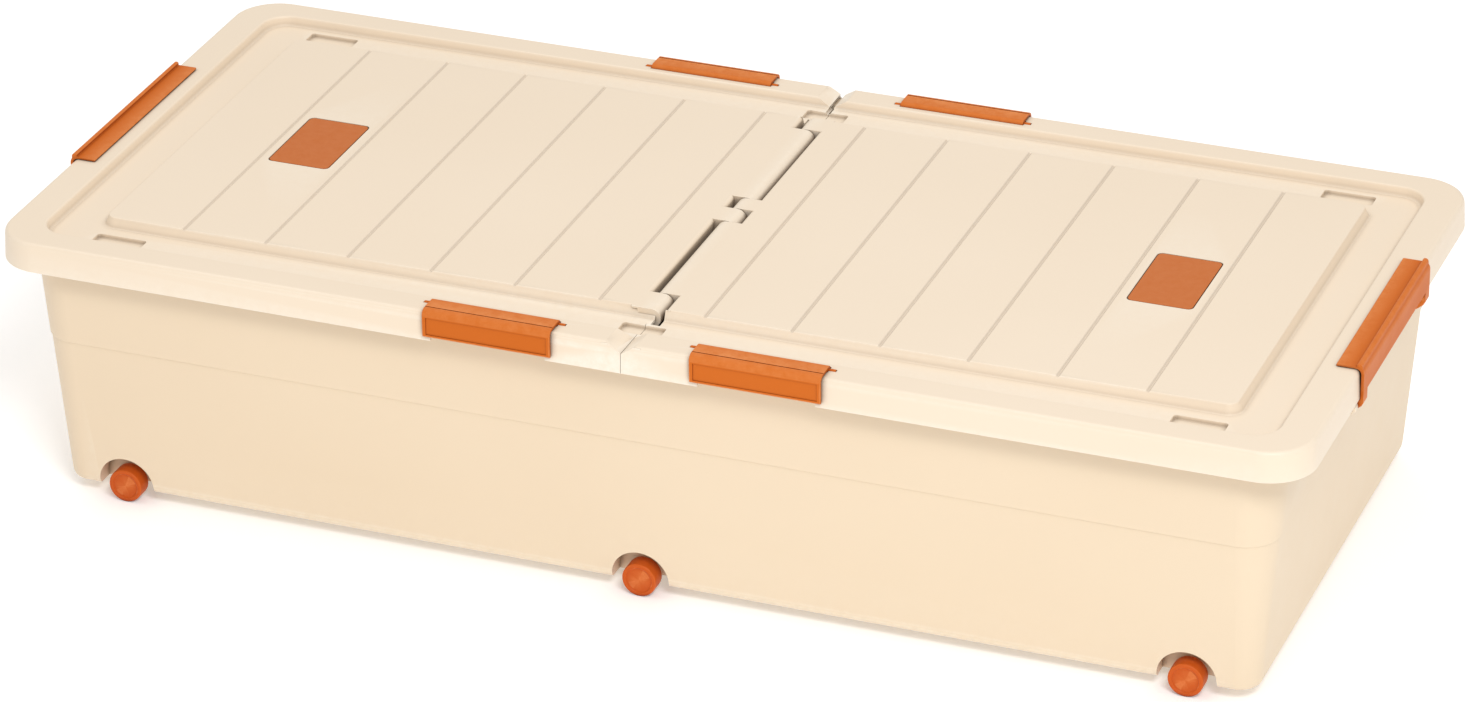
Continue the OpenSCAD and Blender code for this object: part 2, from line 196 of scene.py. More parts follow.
def joined(name, parts):
    """Separate, non-touching parts as one mesh object."""
    bm = bmesh.new()
    for part in parts:
        bm.from_mesh(part.data)
        bpy.data.objects.remove(part)
    mesh = bpy.data.meshes.new(name)
    bm.to_mesh(mesh)
    bm.free()
    obj = bpy.data.objects.new(name, mesh)
    bpy.context.scene.collection.objects.link(obj)
    return obj


def bevel(obj, width, angle):
    """Rounds the edges sharper than an angle, in degrees."""
    mod = obj.modifiers.new("bevel", "BEVEL")
    mod.width, mod.segments, mod.limit_method = width, 2, "ANGLE"
    mod.angle_limit = math.radians(angle)
    mod.use_clamp_overlap = True
    return bake(obj)


def flipped(obj, name, x=1, y=1):
    """A mirrored or turned copy."""
    copy = bpy.data.objects.new(name, obj.data.copy())
    bpy.context.scene.collection.objects.link(copy)
    copy.data.transform(Matrix.Diagonal((x, y, 1, 1)))
    if x * y < 0:
        copy.data.flip_normals()
    return copy


def finish_piece(obj, material, body, slot, *nodes, sharp=38):
    """Cleans the mesh, scales it to metres, shades it and ties it to the frame."""
    bm = bmesh.new()
    bm.from_mesh(obj.data)
    bmesh.ops.remove_doubles(bm, verts=bm.verts, dist=0.01)
    bmesh.ops.dissolve_degenerate(bm, edges=bm.edges, dist=0.005)
    bmesh.ops.recalc_face_normals(bm, faces=bm.faces)
    bm.to_mesh(obj.data)
    bm.free()
    obj.data.transform(Matrix.Scale(MM, 4))
    obj.data.shade_smooth()
    obj.data.set_sharp_from_angle(angle=math.radians(sharp))
    weight = obj.modifiers.new("weighted", "WEIGHTED_NORMAL")
    weight.keep_sharp, weight.weight = True, 80
    bake(obj)
    obj.data.materials.clear()
    obj.data.materials.append(material)
    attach(obj, body)
    if nodes:
        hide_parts(*nodes)
    return obj


# ---------------------------------------------------------------- materials

def link(tree, a, out, b, into):
    tree.links.new(a.outputs[out], b.inputs[into])


def noise(tree, coords, scale, detail=3.0, roughness=0.5):
    node = tree.nodes.new("ShaderNodeTexNoise")
    node.inputs["Scale"].default_value = scale
    node.inputs["Detail"].default_value = detail
    node.inputs["Roughness"].default_value = roughness
    link(tree, coords, "Object", node, "Vector")
    return node


def spread(tree, source, out, low, high, from_low=0.3, from_high=0.7):
    node = tree.nodes.new("ShaderNodeMapRange")
    node.inputs["From Min"].default_value = from_low
    node.inputs["From Max"].default_value = from_high
    node.inputs["To Min"].default_value = low
    node.inputs["To Max"].default_value = high
    link(tree, source, out, node, "Value")
    return node


def mixed(tree, factor, out, a, b):
    """A colour between a and b by a factor. Either colour may be a node's socket."""
    node = tree.nodes.new("ShaderNodeMix")
    node.data_type = "RGBA"
    tree.links.new(factor.outputs[out], node.inputs["Factor"])
    for name, value in (("A", a), ("B", b)):
        socket = [s for s in node.inputs if s.name == name and s.type == "RGBA"][0]
        if isinstance(value, bpy.types.NodeSocket):
            tree.links.new(value, socket)
        else:
            socket.default_value = (*value, 1.0)
    return [s for s in node.outputs if s.type == "RGBA"][0]


def moulded(name, base, tint, edge_wear_and_highlight, shade, rough, grain, coat=0.0, gloss=0.38):
    """Injection-moulded plastic: colour drift, fine grain, patchy sheen, edges lightened by wear and painted
    highlight, painted shade in creases and where pieces meet.
    """
    material = bpy.data.materials.new(name)
    material.use_nodes = True
    tree = material.node_tree
    shader = tree.nodes["Principled BSDF"]
    coords = tree.nodes.new("ShaderNodeTexCoord")
    drift = noise(tree, coords, 3.0, 2.0)
    flow = noise(tree, coords, 38.0, 4.0, 0.6)
    fine = noise(tree, coords, 1500.0, 2.0)
    scuff = noise(tree, coords, 160.0, 6.0, 0.72)

    colour = mixed(tree, spread(tree, drift, "Fac", 0.0, 1.0), "Result", base, tint)
    geometry = tree.nodes.new("ShaderNodeNewGeometry")
    # Convex edges lightened: partly edge wear, partly painted highlight, broken up by scuff noise.
    edge = spread(tree, geometry, "Pointiness", 0.0, 1.0, 0.52, 0.60)
    patchy_wear_highlight_mask = tree.nodes.new("ShaderNodeMath")
    patchy_wear_highlight_mask.operation = "MULTIPLY"
    link(tree, edge, "Result", patchy_wear_highlight_mask, 0)
    link(tree, spread(tree, scuff, "Fac", 0.35, 0.9, 0.35, 0.65), "Result", patchy_wear_highlight_mask, 1)
    colour = mixed(tree, patchy_wear_highlight_mask, "Value", colour, edge_wear_and_highlight)
    # Painted shade: the colour darkens towards the shade colour within 5 mm of any surface, its own or
    # another piece's, in creases, gaps and where pieces meet.
    hollow = tree.nodes.new("ShaderNodeAmbientOcclusion")
    hollow.samples = 8
    hollow.only_local = False
    hollow.inputs["Distance"].default_value = 0.005
    crease_shade = spread(tree, hollow, "AO", 0.96, 0.0, 0.22, 0.95)
    tree.links.new(mixed(tree, crease_shade, "Result", colour, shade), shader.inputs["Base Color"])

    sheen = tree.nodes.new("ShaderNodeMath")
    sheen.operation = "ADD"
    link(tree, spread(tree, flow, "Fac", rough - 0.035, rough + 0.035), "Result", sheen, 0)
    link(tree, spread(tree, scuff, "Fac", 0.0, 0.05, 0.55, 0.75), "Result", sheen, 1)
    link(tree, sheen, "Value", shader, "Roughness")

    skin_bump = tree.nodes.new("ShaderNodeBump")
    skin_bump.inputs["Strength"].default_value = 0.35
    skin_bump.inputs["Distance"].default_value = grain
    link(tree, fine, "Fac", skin_bump, "Height")
    wave_bump = tree.nodes.new("ShaderNodeBump")
    wave_bump.inputs["Strength"].default_value = 0.2
    wave_bump.inputs["Distance"].default_value = 0.0004
    link(tree, drift, "Fac", wave_bump, "Height")
    link(tree, skin_bump, "Normal", wave_bump, "Normal")
    link(tree, wave_bump, "Normal", shader, "Normal")

    shader.inputs["Specular IOR Level"].default_value = gloss
    shader.inputs["Coat Weight"].default_value = coat
    shader.inputs["Coat Roughness"].default_value = 0.25
    return material


def drawn_wire(name):
    """Bright drawn steel with fine rings from drawing."""
    material = bpy.data.materials.new(name)
    material.use_nodes = True
    tree = material.node_tree
    shader = tree.nodes["Principled BSDF"]
    coords = tree.nodes.new("ShaderNodeTexCoord")
    fine = noise(tree, coords, 900.0, 3.0)
    tone = spread(tree, fine, "Fac", 0.0, 1.0)
    tree.links.new(mixed(tree, tone, "Result", (0.50, 0.50, 0.51), (0.66, 0.66, 0.67)),
                   shader.inputs["Base Color"])
    link(tree, spread(tree, fine, "Fac", 0.22, 0.38), "Result", shader, "Roughness")
    bump = tree.nodes.new("ShaderNodeBump")
    bump.inputs["Strength"].default_value = 0.3
    bump.inputs["Distance"].default_value = 0.00004
    link(tree, fine, "Fac", bump, "Height")
    link(tree, bump, "Normal", shader, "Normal")
    shader.inputs["Metallic"].default_value = 1.0
    return material


# Each is named with its base, tint, edge wear and painted highlight, and painted shade colours, then
# roughness, grain, coat and gloss
CREAM_LID = moulded("cream_lid", (0.86, 0.72, 0.56), (0.88, 0.745, 0.59), (0.95, 0.88, 0.77),
                    (0.12, 0.07, 0.035), 0.42, 0.00006, 0.04)
CREAM_TUB = moulded("cream_tub", (0.80, 0.645, 0.465), (0.83, 0.68, 0.50), (0.92, 0.82, 0.68),
                    (0.22, 0.13, 0.06), 0.45, 0.00006, 0.04)
LATCH_ORANGE = moulded("latch_orange", (0.60, 0.135, 0.013), (0.64, 0.15, 0.017), (0.80, 0.30, 0.10),
                       (0.16, 0.015, 0.002), 0.46, 0.00004, 0.0, 0.10)
INLAY_BROWN = moulded("inlay_brown", (0.54, 0.135, 0.024), (0.57, 0.15, 0.030), (0.68, 0.26, 0.10),
                      (0.12, 0.015, 0.003), 0.48, 0.00008, 0.0, 0.16)
WHEEL_ORANGE = moulded("wheel_orange", (0.56, 0.088, 0.006), (0.60, 0.10, 0.009), (0.72, 0.20, 0.05),
                       (0.16, 0.015, 0.002), 0.42, 0.00006, 0.0, 0.2)
WIRE = drawn_wire("drawn_wire")


# ---------------------------------------------------------------- tub

TUB_CX, TUB_CY = LX - 50.5, LY - 44.0
FLOOR_Z, FLOOR_T, WALL = 9.5, 2.5, 2.4
STEP_Z, STEP = 124.0, 1.0
FOOT_R, STEP_R, TOP_R = 16.5, 24.8, 31.3
WHEEL_X, WHEEL_Z, WHEEL_R = 392.0, 12.5, 12.5
WHEEL_FACE, WHEEL_W = 192.8, 12.8
ARCH_R, HOUSE_Y, HOUSE_T = 21.0, 175.0, 2.0
BOSS_IN, BOSS_OUT = 166.0, 179.5
BEAD_AT, BEAD_W, BEAD_H = 7.5, 1.0, 0.28
END_LATCH_HALF = 83.5
END_PIVOT = (LX - 4.5, SKIRT_Z - 5.5)
PIN_R, PIN_PLAY = 1.8, 0.05
WHEEL_PLACES = [(row, place_name, x, side) for row, side in (("front", -1), ("back", 1))
                for place_name, x in (("left", -WHEEL_X), ("middle", 0.0), ("right", WHEEL_X))]


def tub_wall_profile(thick, floor, top):
    """Wall from the floor up as (half length, half width, corner radius, height, cut)."""
    rows = [(6.0, floor, 0.0), (FOOT_R - thick - 0.55, floor, 5.5), (STEP_R - thick, STEP_Z - 0.2, 0.7),
            (STEP_R + STEP - thick, STEP_Z + STEP - 0.2, 0.7), (TOP_R - thick, top, 0.0)]
    return [(TUB_CX + r, TUB_CY + r, r, z, cut) for r, z, cut in rows]


def rings_from(profile):
    return [oblong(*row) for row in soften(profile)]


def d_shape(r, z_low):
    """Arch over the wheel's centre, straight down to z_low, in X and Z."""
    return [(-r, z_low)] + [(x, z) for x, z in reversed(arc(0, WHEEL_Z, r, 0, 180, 28))] + [(r, z_low)]


def make_tub():
    rim_x, rim_y, rim_r = LX - 3.0, LY - 3.0, 33.0
    outside = tub_wall_profile(0.0, FLOOR_Z, FLANGE_Z - 2.5)[:-1] + [
        (TUB_CX + TOP_R - 0.1, TUB_CY + TOP_R - 0.1, TOP_R, FLANGE_Z - 2.5, 1.2),
        (rim_x - 2.0, rim_y - 2.0, rim_r - 2.0, FLANGE_Z - 2.5, 1.0),
        (rim_x - 2.0, rim_y - 2.0, rim_r - 2.0, FLANGE_Z - 9.6, 0.8),
        (rim_x, rim_y, rim_r, FLANGE_Z - 9.6, 0.8),
        (rim_x, rim_y, rim_r, FLANGE_Z, 1.8),
        (TUB_CX + TOP_R, TUB_CY + TOP_R, TOP_R, FLANGE_Z, 0.0),
    ]
    tub = loft("tub", rings_from(outside))
    hollow_profile = tub_wall_profile(WALL, FLOOR_Z + FLOOR_T, FLANGE_Z)[:-1] + [
        (TUB_CX + TOP_R - WALL, TUB_CY + TOP_R - WALL, TOP_R - WALL, FLANGE_Z + 0.1, 1.4),
        (TUB_CX + TOP_R - WALL + 4.0, TUB_CY + TOP_R - WALL + 4.0, TOP_R - WALL + 4.0, FLANGE_Z + 0.1, 0.0),
        (TUB_CX + TOP_R - WALL + 4.0, TUB_CY + TOP_R - WALL + 4.0, TOP_R - WALL + 4.0, FLANGE_Z + 6.0, 0.0),
    ]
    hollow = loft("hollow", rings_from(hollow_profile))
    houses, spaces = [], []
    for row, place_name, x, side in WHEEL_PLACES:
        for parts, grow, y_in, y_out, low in ((houses, HOUSE_T, HOUSE_Y - HOUSE_T, 215.0, 0.0),
                                              (spaces, 0.0, HOUSE_Y, 215.0, -5.0)):
            piece = prism("arch", d_shape(ARCH_R + grow, low), "Y", side * y_in, side * y_out)
            piece.data.transform(Matrix.Translation((x, 0, 0)))
            parts.append(piece)
    carve(hollow, "DIFFERENCE", joined("houses", houses))
    carve(tub, "DIFFERENCE", hollow, joined("spaces", spaces))
    bosses, bores = [], []
    for row, place_name, x, side in WHEEL_PLACES:
        bosses.append(turned("boss", "Y", (x, WHEEL_Z), [
            (5.0, side * BOSS_IN), (5.5, side * (BOSS_IN + 0.5)),
            (5.5, side * (BOSS_OUT - 0.4)), (5.1, side * BOSS_OUT)]))
        bores.append(turned("bore", "Y", (x, WHEEL_Z),
                            [(2.52, side * (BOSS_IN + 2.0)), (2.52, side * 185.0)], 32))
    lugs = [end_lug(sx, sy) for sx in (-1, 1) for sy in (-1, 1)]
    carve(tub, "UNION", joined("bosses", bosses), joined("lugs", lugs))
    for sx in (-1, 1):
        for sy in (-1, 1):
            bores.append(turned("bore", "Y", (sx * END_PIVOT[0], END_PIVOT[1]), [
                (PIN_R + PIN_PLAY, sy * (END_LATCH_HALF - 2)),
                (PIN_R + PIN_PLAY, sy * (END_LATCH_HALF + 12))], 32))
    carve(tub, "DIFFERENCE", joined("bores", bores))
    return tub


def end_lug(sx, sy):
    """An ear under the tub's rim that an end latch turns on, with its web up to the rim."""
    x, z = END_PIVOT
    wall = TUB_CX + TOP_R - 1.6
    section = [(wall, z - 9.0), (x - 1.0, z - 3.8)] + arc(x, z, 3.8, -80, 60, 10) + [
        (x + 1.6, SKIRT_Z - 1.0), (LX - 6.2, SKIRT_Z - 1.0), (LX - 6.2, FLANGE_Z - 1.2),
        (wall, FLANGE_Z - 1.2)]
    start = END_LATCH_HALF + 0.5
    return prism("lug", [(sx * u, v) for u, v in section], "Y", sy * start, sy * (start + 6.0))


# ---------------------------------------------------------------- lid

RIM = (447.0, 194.4, 20.0)
PANEL = (411.0, 158.7, 7.0)
AXIS_Z, KNUCKLE_R = CHANNEL_Z, 6.9
EDGE_GAP, EDGE_ROUND, HEM_T = KNUCKLE_R + 2.9, 2.8, 2.0
HINGE_END, EAR_X = 161.0, 3.0
EDGE_END, PIN_END = HINGE_END + 9.0, HINGE_END - 3.0
SEAMS = [-HINGE_END, -136.0, -18.0, 3.0, 21.0, 140.0, HINGE_END]
NOTCH_W, HALF_GAP, BRIDGE_L = 11.3, 0.15, 14.0
POCKETS = [(-392.0, 18.6), (0.0, 15.5)]
POCKET_Y = 179.0
# How far the tools that cut the middle of the lid reach, below it and past the pin
CUT_LOW, CUT_X = 150.0, 40.0
GROOVES = [38.4 + 62.5 * k for k in range(6)]
INSERT_X, INSERT_HX, INSERT_HY, INSERT_R = 320.3, 23.1, 37.5, 4.0
SIDE_X, SIDE_HALF, STUB = 97.0, 46.75, 5.0
SIDE_PIVOT = (LY - 14.5, TOP - 1.0)
BARREL_R = 3.6


def lid_shell():
    """The left half of the lid as one closed skin, reaching a little past the middle."""
    end = 13.0
    over = soften([
        (LX, LY, 34.0, SKIRT_Z, 0.0), (LX, LY, 34.0, SKIRT_Z + 0.6, 0.0),
        (LX - 1.0, LY - 1.0, 33.0, TOP, 4.4),
        (RIM[0], RIM[1], RIM[2], TOP, 2.0), (RIM[0] - 1.6, RIM[1] - 1.6, RIM[2] - 1.6, CHANNEL_Z, 2.2),
        (PANEL[0] + 3.4, PANEL[1] + 3.4, PANEL[2] + 3.4, CHANNEL_Z, 1.4),
        (PANEL[0] + 0.2, PANEL[1] + 0.2, PANEL[2] + 0.2, TOP, 1.0),
        (PANEL[0] - 4, PANEL[1] - 4, PANEL[2] - 4, TOP, 0.0),
    ], steps=5)
    under = soften([
        (PANEL[0] - 5, PANEL[1] - 5, PANEL[2] - 5, TOP - SKIN, 0.0),
        (PANEL[0] - 1.5, PANEL[1] - 1.5, PANEL[2] - 1.5, TOP - SKIN, 1.0),
        (PANEL[0] - 1.2, PANEL[1] - 1.2, PANEL[2] - 1.2, CHANNEL_Z - SKIN, 0.8),
        (RIM[0] + SKIN, RIM[1] + SKIN, RIM[2] + SKIN, CHANNEL_Z - SKIN, 0.8),
        (RIM[0] + SKIN + 0.4, RIM[1] + SKIN + 0.4, RIM[2] + SKIN, TOP - SKIN, 1.0),
        (LX - 3.1, LY - 3.1, 31.0, TOP - SKIN, 3.0), (LX - SKIN, LY - SKIN, 32.0, SKIRT_Z, 0.0),
    ], steps=4)
    rings = [u_ring(*row, end) for row in over] + [u_ring(*row, end) for row in under]
    count, total = len(rings[0]), len(rings)
    verts = [v for ring in rings for v in ring]
    faces = []
    for k in range(total):
        a, b = k * count, ((k + 1) % total) * count
        if k == len(over) - 1:
            continue
        faces += [(a + i, a + i + 1, b + i + 1, b + i) for i in range(count - 1)]
    top, bottom = len(over) - 1, len(over)
    faces.append(tuple(range(top * count, (top + 1) * count)))
    faces.append(tuple(reversed(range(bottom * count, (bottom + 1) * count))))
    starts, ends = [k * count for k in range(total)], [k * count + count - 1 for k in range(total)]
    cap = starts[:top + 1] + ends[:top + 1][::-1] + ends[bottom:][::-1] + starts[bottom:]
    faces.append(tuple(cap))
    return new_object("lid_left", verts, faces)


def groove(x):
    """A shallow groove with soft lips, as the tool that presses it in."""
    half, depth = 1.7, 1.25
    dip = []
    for k in range(13):
        fall = (0.5 - 0.5 * math.cos(2 * math.pi * k / 12)) ** 0.7
        dip.append((x - half + 2 * half * k / 12, TOP + 0.03 - depth * fall))
    section = dip + [(x + half, TOP + 2), (x - half, TOP + 2)]
    return prism("groove", section, "Y", -PANEL[1] - 3.4, PANEL[1] + 3.4)


def side_cuts(side):
    """Tools for a side latch of the left half: the barrel's trough, the pin slots and the hook's notch."""
    y, z = side * SIDE_PIVOT[0], SIDE_PIVOT[1]
    ends = (-SIDE_X - SIDE_HALF, -SIDE_X + SIDE_HALF)
    trough_r, slot_r = BARREL_R + 0.4, PIN_R + PIN_PLAY
    trough = turned("trough", "X", (y, z), [(trough_r, ends[0] - 0.4), (trough_r, ends[1] + 0.4)], 40)
    slots = turned("slots", "X", (y, z), [(slot_r, ends[0] - STUB - 0.4), (slot_r, ends[1] + STUB + 0.4)], 32)
    notch = block("notch", (-SIDE_X - 42, side * (LY - 5) if side > 0 else -LY - 3, SKIRT_Z - 3),
                  (-SIDE_X + 42, LY + 3 if side > 0 else side * (LY - 5), TOP - 11))
    return trough, slots, notch


def opposite_side(side):
    """What the left half gives up at the notch in the rim over the hinge."""
    section = [(-HALF_GAP, CUT_LOW), (-HALF_GAP, AXIS_Z), (-NOTCH_W, TOP), (-NOTCH_W - 1.6, TOP + 1.0),
               (CUT_X, TOP + 1.0), (CUT_X, CUT_LOW)]
    return prism("opposite", section, "Y", side * EDGE_END, side * (LY + 5))


def knuckle(start, end):
    """A hinge knuckle with the flat tongue that carries it. Its top runs in line with the panel."""
    flat_end = -EDGE_GAP - EDGE_ROUND - 2.0
    section = [(flat_end, TOP - SKIN + 0.2), (flat_end, TOP), (-2.0, TOP)]
    section += [(x, z) for x, z in arc(0, AXIS_Z, KNUCKLE_R, 90, -155, 34)]
    section += [(-6.6, AXIS_Z - SKIN), (-EDGE_GAP - 0.6, AXIS_Z - SKIN), (-EDGE_GAP - 0.6, TOP - SKIN + 0.2)]
    return bevel(prism("knuckle", section, "Y", start + 0.2, end - 0.2), 0.5, 40)


def hem():
    """The rounded edge along the hinge, turned down into a hem between the two ends of the panel."""
    wall, r = -EDGE_GAP, EDGE_ROUND
    outer = arc(wall - r, TOP - r, r, 90, 0, 10)
    inner = arc(wall - r, TOP - r, r - SKIN, 0, 90, 6)
    low = AXIS_Z - 4.0
    section = [(wall - r - 0.6, TOP)] + outer
    section += [(wall, low + 0.4), (wall - 0.4, low), (wall - HEM_T + 0.4, low), (wall - HEM_T, low + 0.4)]
    section += inner + [(wall - r - 0.6, TOP - SKIN)]
    return prism("hem", section, "Y", -PANEL[1] - 0.6, PANEL[1] + 0.6)


def make_lid_half(spans, bore):
    """The left half of the lid, with its knuckles and its pin's bore at the spans given."""
    lid = lid_shell()
    rib_rows = [(LX - 10.5, FLANGE_Z + 0.4), (LX - 10.5, TOP - SKIN + 0.2), (LX - 12.5, TOP - SKIN + 0.2),
                (LX - 12.5, FLANGE_Z + 0.4)]
    rib_rings = [u_ring(hx, hx - LX + LY + 3.0, 26.0 - (LX - 10.5 - hx), z, 13.0) for hx, z in rib_rows]
    count = len(rib_rings[0])
    faces = [(k * count + i, k * count + i + 1, (k + 1) % 4 * count + i + 1, (k + 1) % 4 * count + i)
             for k in range(4) for i in range(count - 1)]
    faces += [tuple(k * count for k in range(4)), tuple(k * count + count - 1 for k in range(4))]
    rib = new_object("rib", [v for ring in rib_rings for v in ring], faces)
    bed = pad("bed", -INSERT_X, 0, INSERT_HX + 3, INSERT_HY + 3, 5, [(0, TOP - SKIN - 1.3), (0, TOP - 1)])
    pads = []
    for side in (-1, 1):
        y = side * SIDE_PIVOT[0]
        pads.append(block("pad", (-SIDE_X - SIDE_HALF - STUB - 2, y - 5, SIDE_PIVOT[1] - BARREL_R - 1.6),
                          (-SIDE_X + SIDE_HALF + STUB + 2, y + 5, TOP - 1)))
    wells = [pad("well", x, side * POCKET_Y, half + SKIN, 9.0, 3.0,
                 [(0, CHANNEL_Z - 5.0), (0, CHANNEL_Z - 1)])
             for x, half in POCKETS for side in (-1, 1)]
    bridges = [block("bridge", (-BRIDGE_L, side * (RIM[1] + 1) if side > 0 else -LY + 1.2, FLANGE_Z + 0.4),
                     (1.0, LY - 1.2 if side > 0 else side * (RIM[1] + 1), TOP - 1)) for side in (-1, 1)]
    carve(lid, "UNION", rib, bed, joined("pads", pads), joined("wells", wells), joined("bridges", bridges))
    pockets = [pad("pocket", x, side * POCKET_Y, half, 7.0, 2.0,
                   [(0.9, CHANNEL_Z - 3.0), (0.3, CHANNEL_Z - 2.8), (0.1, CHANNEL_Z - 2.2),
                    (0, CHANNEL_Z - 0.7), (-0.25, CHANNEL_Z - 0.2), (-0.8, CHANNEL_Z + 0.03),
                    (-0.8, CHANNEL_Z + 1)])
               for x, half in POCKETS for side in (-1, 1)]
    recess = pad("recess", -INSERT_X, 0, INSERT_HX + 0.5, INSERT_HY + 0.5, INSERT_R,
                 [(0, TOP - 1.3), (0, TOP - 0.3), (-0.3, TOP + 0.02), (-0.3, TOP + 1)])
    grooves = [groove(-x) for x in GROOVES]
    carve(lid, "DIFFERENCE", joined("pockets", pockets), recess, joined("grooves", grooves))
    for side in (-1, 1):
        carve(lid, "DIFFERENCE", *side_cuts(side))
        carve(lid, "DIFFERENCE", opposite_side(side))
    channel_hem = block("channel_hem", (-EDGE_GAP - HEM_T, -HINGE_END, AXIS_Z - 4.0),
                        (-EDGE_GAP + 1, EDGE_END, CHANNEL_Z - 0.6))
    carve(lid, "UNION", channel_hem)
    middle = block("middle", (-EDGE_GAP, -HINGE_END, CUT_LOW), (CUT_X, EDGE_END, TOP + 3))
    beside_ear = block("beside_ear", (EAR_X, -EDGE_END - 0.2, CUT_LOW), (CUT_X, -HINGE_END + 1, TOP + 3))
    carve(lid, "DIFFERENCE", beside_ear)
    edge = block("edge", (-EDGE_GAP - EDGE_ROUND, -PANEL[1], CHANNEL_Z + 1),
                 (-EDGE_GAP + 1, PANEL[1], TOP + 3))
    carve(lid, "DIFFERENCE", middle, edge)
    carve(lid, "UNION", hem(), joined("knuckles", [knuckle(*span) for span in spans]))
    carve(lid, "DIFFERENCE", turned("pin_bore", "Y", (0, AXIS_Z), [(2.05, bore[0]), (2.05, bore[1])], 32))
    return lid


# ---------------------------------------------------------------- latches

LATCH_T = 2.2
LATCH_TOP = TOP + 0.4 + LATCH_T
LATCH_LOW = TOP - 18.0
LIP_R, LIP_H, LIP_IN, LIP_WALL, FLANGE_DROP = 2.2, 1.6, 3.6, 5.2, 0.9


def plate_end(x1):
    """The low edge of a latch's plate, in section, from its outer face to its inner one."""
    return [(x1, LATCH_LOW + 0.8), (x1 - 0.8, LATCH_LOW), (x1 - LATCH_T + 0.4, LATCH_LOW),
            (x1 - LATCH_T, LATCH_LOW + 0.4)]


def bent_plate(x1, r):
    """Section of a side latch round its bend, from the top of its flange to the underside."""
    outside = arc(x1 - r, LATCH_TOP - r, r, 90, 0, 8)
    return outside + plate_end(x1) + arc(x1 - r, LATCH_TOP - r, r - LATCH_T, 0, 90, 6)


def make_side_latch():
    """The latch of the back right place."""
    y, z = SIDE_PIVOT
    outer = LY + 0.3 + LATCH_T
    under = math.degrees(math.asin((LATCH_TOP - LATCH_T - z) / BARREL_R))
    section = bent_plate(outer, 5.0)
    section += arc(y, z, BARREL_R, under, -270, 36)
    latch = prism("latch", section, "X", SIDE_X - SIDE_HALF, SIDE_X + SIDE_HALF)
    bevel(latch, 0.5, 60)
    face = block("face", (SIDE_X - SIDE_HALF + 2.6, outer - 0.5, LATCH_LOW + 2.0),
                 (SIDE_X + SIDE_HALF - 2.6, outer + 1, LATCH_TOP - 5.9))
    line = block("line", (SIDE_X - SIDE_HALF - 1, outer - 6.4, LATCH_TOP - 0.45),
                 (SIDE_X + SIDE_HALF + 1, outer - 5.4, LATCH_TOP + 1))
    carve(latch, "DIFFERENCE", face, line)
    pins = rod("pins", "X", (y, z), PIN_R, SIDE_X - SIDE_HALF - STUB, SIDE_X + SIDE_HALF + STUB, 0.4)
    hook = block("hook", (SIDE_X - 41, outer - LATCH_T - 2.9, LATCH_LOW),
                 (SIDE_X + 41, outer - 1, LATCH_LOW + 2))
    carve(latch, "UNION", pins, hook)
    return latch


def make_end_latch():
    """The latch of the right end, on its two legs."""
    outer = LX + 0.3 + LATCH_T
    inner = LX - 17.0
    low, bend_r = LATCH_TOP - FLANGE_DROP, 6.0
    bend = (outer - bend_r, LATCH_TOP - bend_r)
    section = [(inner, LATCH_TOP - LATCH_T + 0.3), (inner, low - 0.4), (inner + 0.4, low),
               (outer - LIP_WALL - 0.3, low), (outer - LIP_WALL, low + 0.3)]
    section += arc(outer - LIP_IN, LATCH_TOP + LIP_H - LIP_R, LIP_R, 136, 0, 12)
    section += arc(*bend, bend_r, 38, 0, 5) + plate_end(outer) + arc(*bend, bend_r - LATCH_T, 0, 90, 6)
    section += [(inner + 0.3, LATCH_TOP - LATCH_T)]
    latch = prism("latch", section, "Y", -END_LATCH_HALF, END_LATCH_HALF)
    x, z = END_PIVOT
    leg_section = [(outer - LATCH_T, LATCH_LOW + 3), (outer - LATCH_T, SKIRT_Z - 0.6)]
    leg_section += arc(x, z, 3.8, 62, 290, 24)
    leg_section += [(outer - 1.2, z + 0.2), (outer, z + 2.4), (outer, LATCH_LOW + 3)]
    for side in (-1, 1):
        leg = prism("leg", leg_section, "Y", side * END_LATCH_HALF, side * (END_LATCH_HALF - 10))
        carve(latch, "UNION", leg)
    bevel(latch, 0.4, 60)
    for side in (-1, 1):
        start, end = side * (END_LATCH_HALF - 2), side * (END_LATCH_HALF + 5.5)
        carve(latch, "UNION", rod("pin", "Y", (x, z), PIN_R, start, end, 0.3 * side))
    return latch


# ---------------------------------------------------------------- small pieces

def make_inlay():
    inlay = pad("inlay", INSERT_X, 0, INSERT_HX, INSERT_HY, INSERT_R,
                [(0.2, TOP - 1.2), (0, TOP - 1.0), (0, TOP - 0.5), (0.18, TOP - 0.15), (0.6, TOP)])
    pegs = [rod("peg", "Z", (INSERT_X + px * 15, py * 28), 2.0, TOP - 3.0, TOP - 0.6, 0.3)
            for px in (-1, 1) for py in (-1, 1)]
    return carve(inlay, "UNION", joined("pegs", pegs))


def make_wheel():
    """A wheel at the back middle place, with its dished face and blind bore."""
    r, w, y = WHEEL_R, WHEEL_W, WHEEL_FACE - WHEEL_W
    bore = 2.58
    rows = [(bore, 0.0, 0.0), (r, 0.0, 1.2), (r, w, 1.3), (r - 2.9, w, 0.5), (r - 3.5, w - 0.8, 0.6),
            (0.05, w - 0.6, 0.0), (0.05, w - 3.0, 0.0), (bore, w - 3.0, 0.0),
            (bore, BEAD_AT + BEAD_W + BEAD_H, 0.0), (bore - BEAD_H, BEAD_AT + BEAD_W, 0.0),
            (bore - BEAD_H, BEAD_AT, 0.0), (bore, BEAD_AT - BEAD_H, 0.0)]
    turns = [2 * math.pi * i / 64 for i in range(64)]
    rings = [[(p[0] * math.cos(a), y + p[1], WHEEL_Z + p[0] * math.sin(a)) for a in turns]
             for p in soften(rows)]
    return loft("wheel", rings, loop=True)


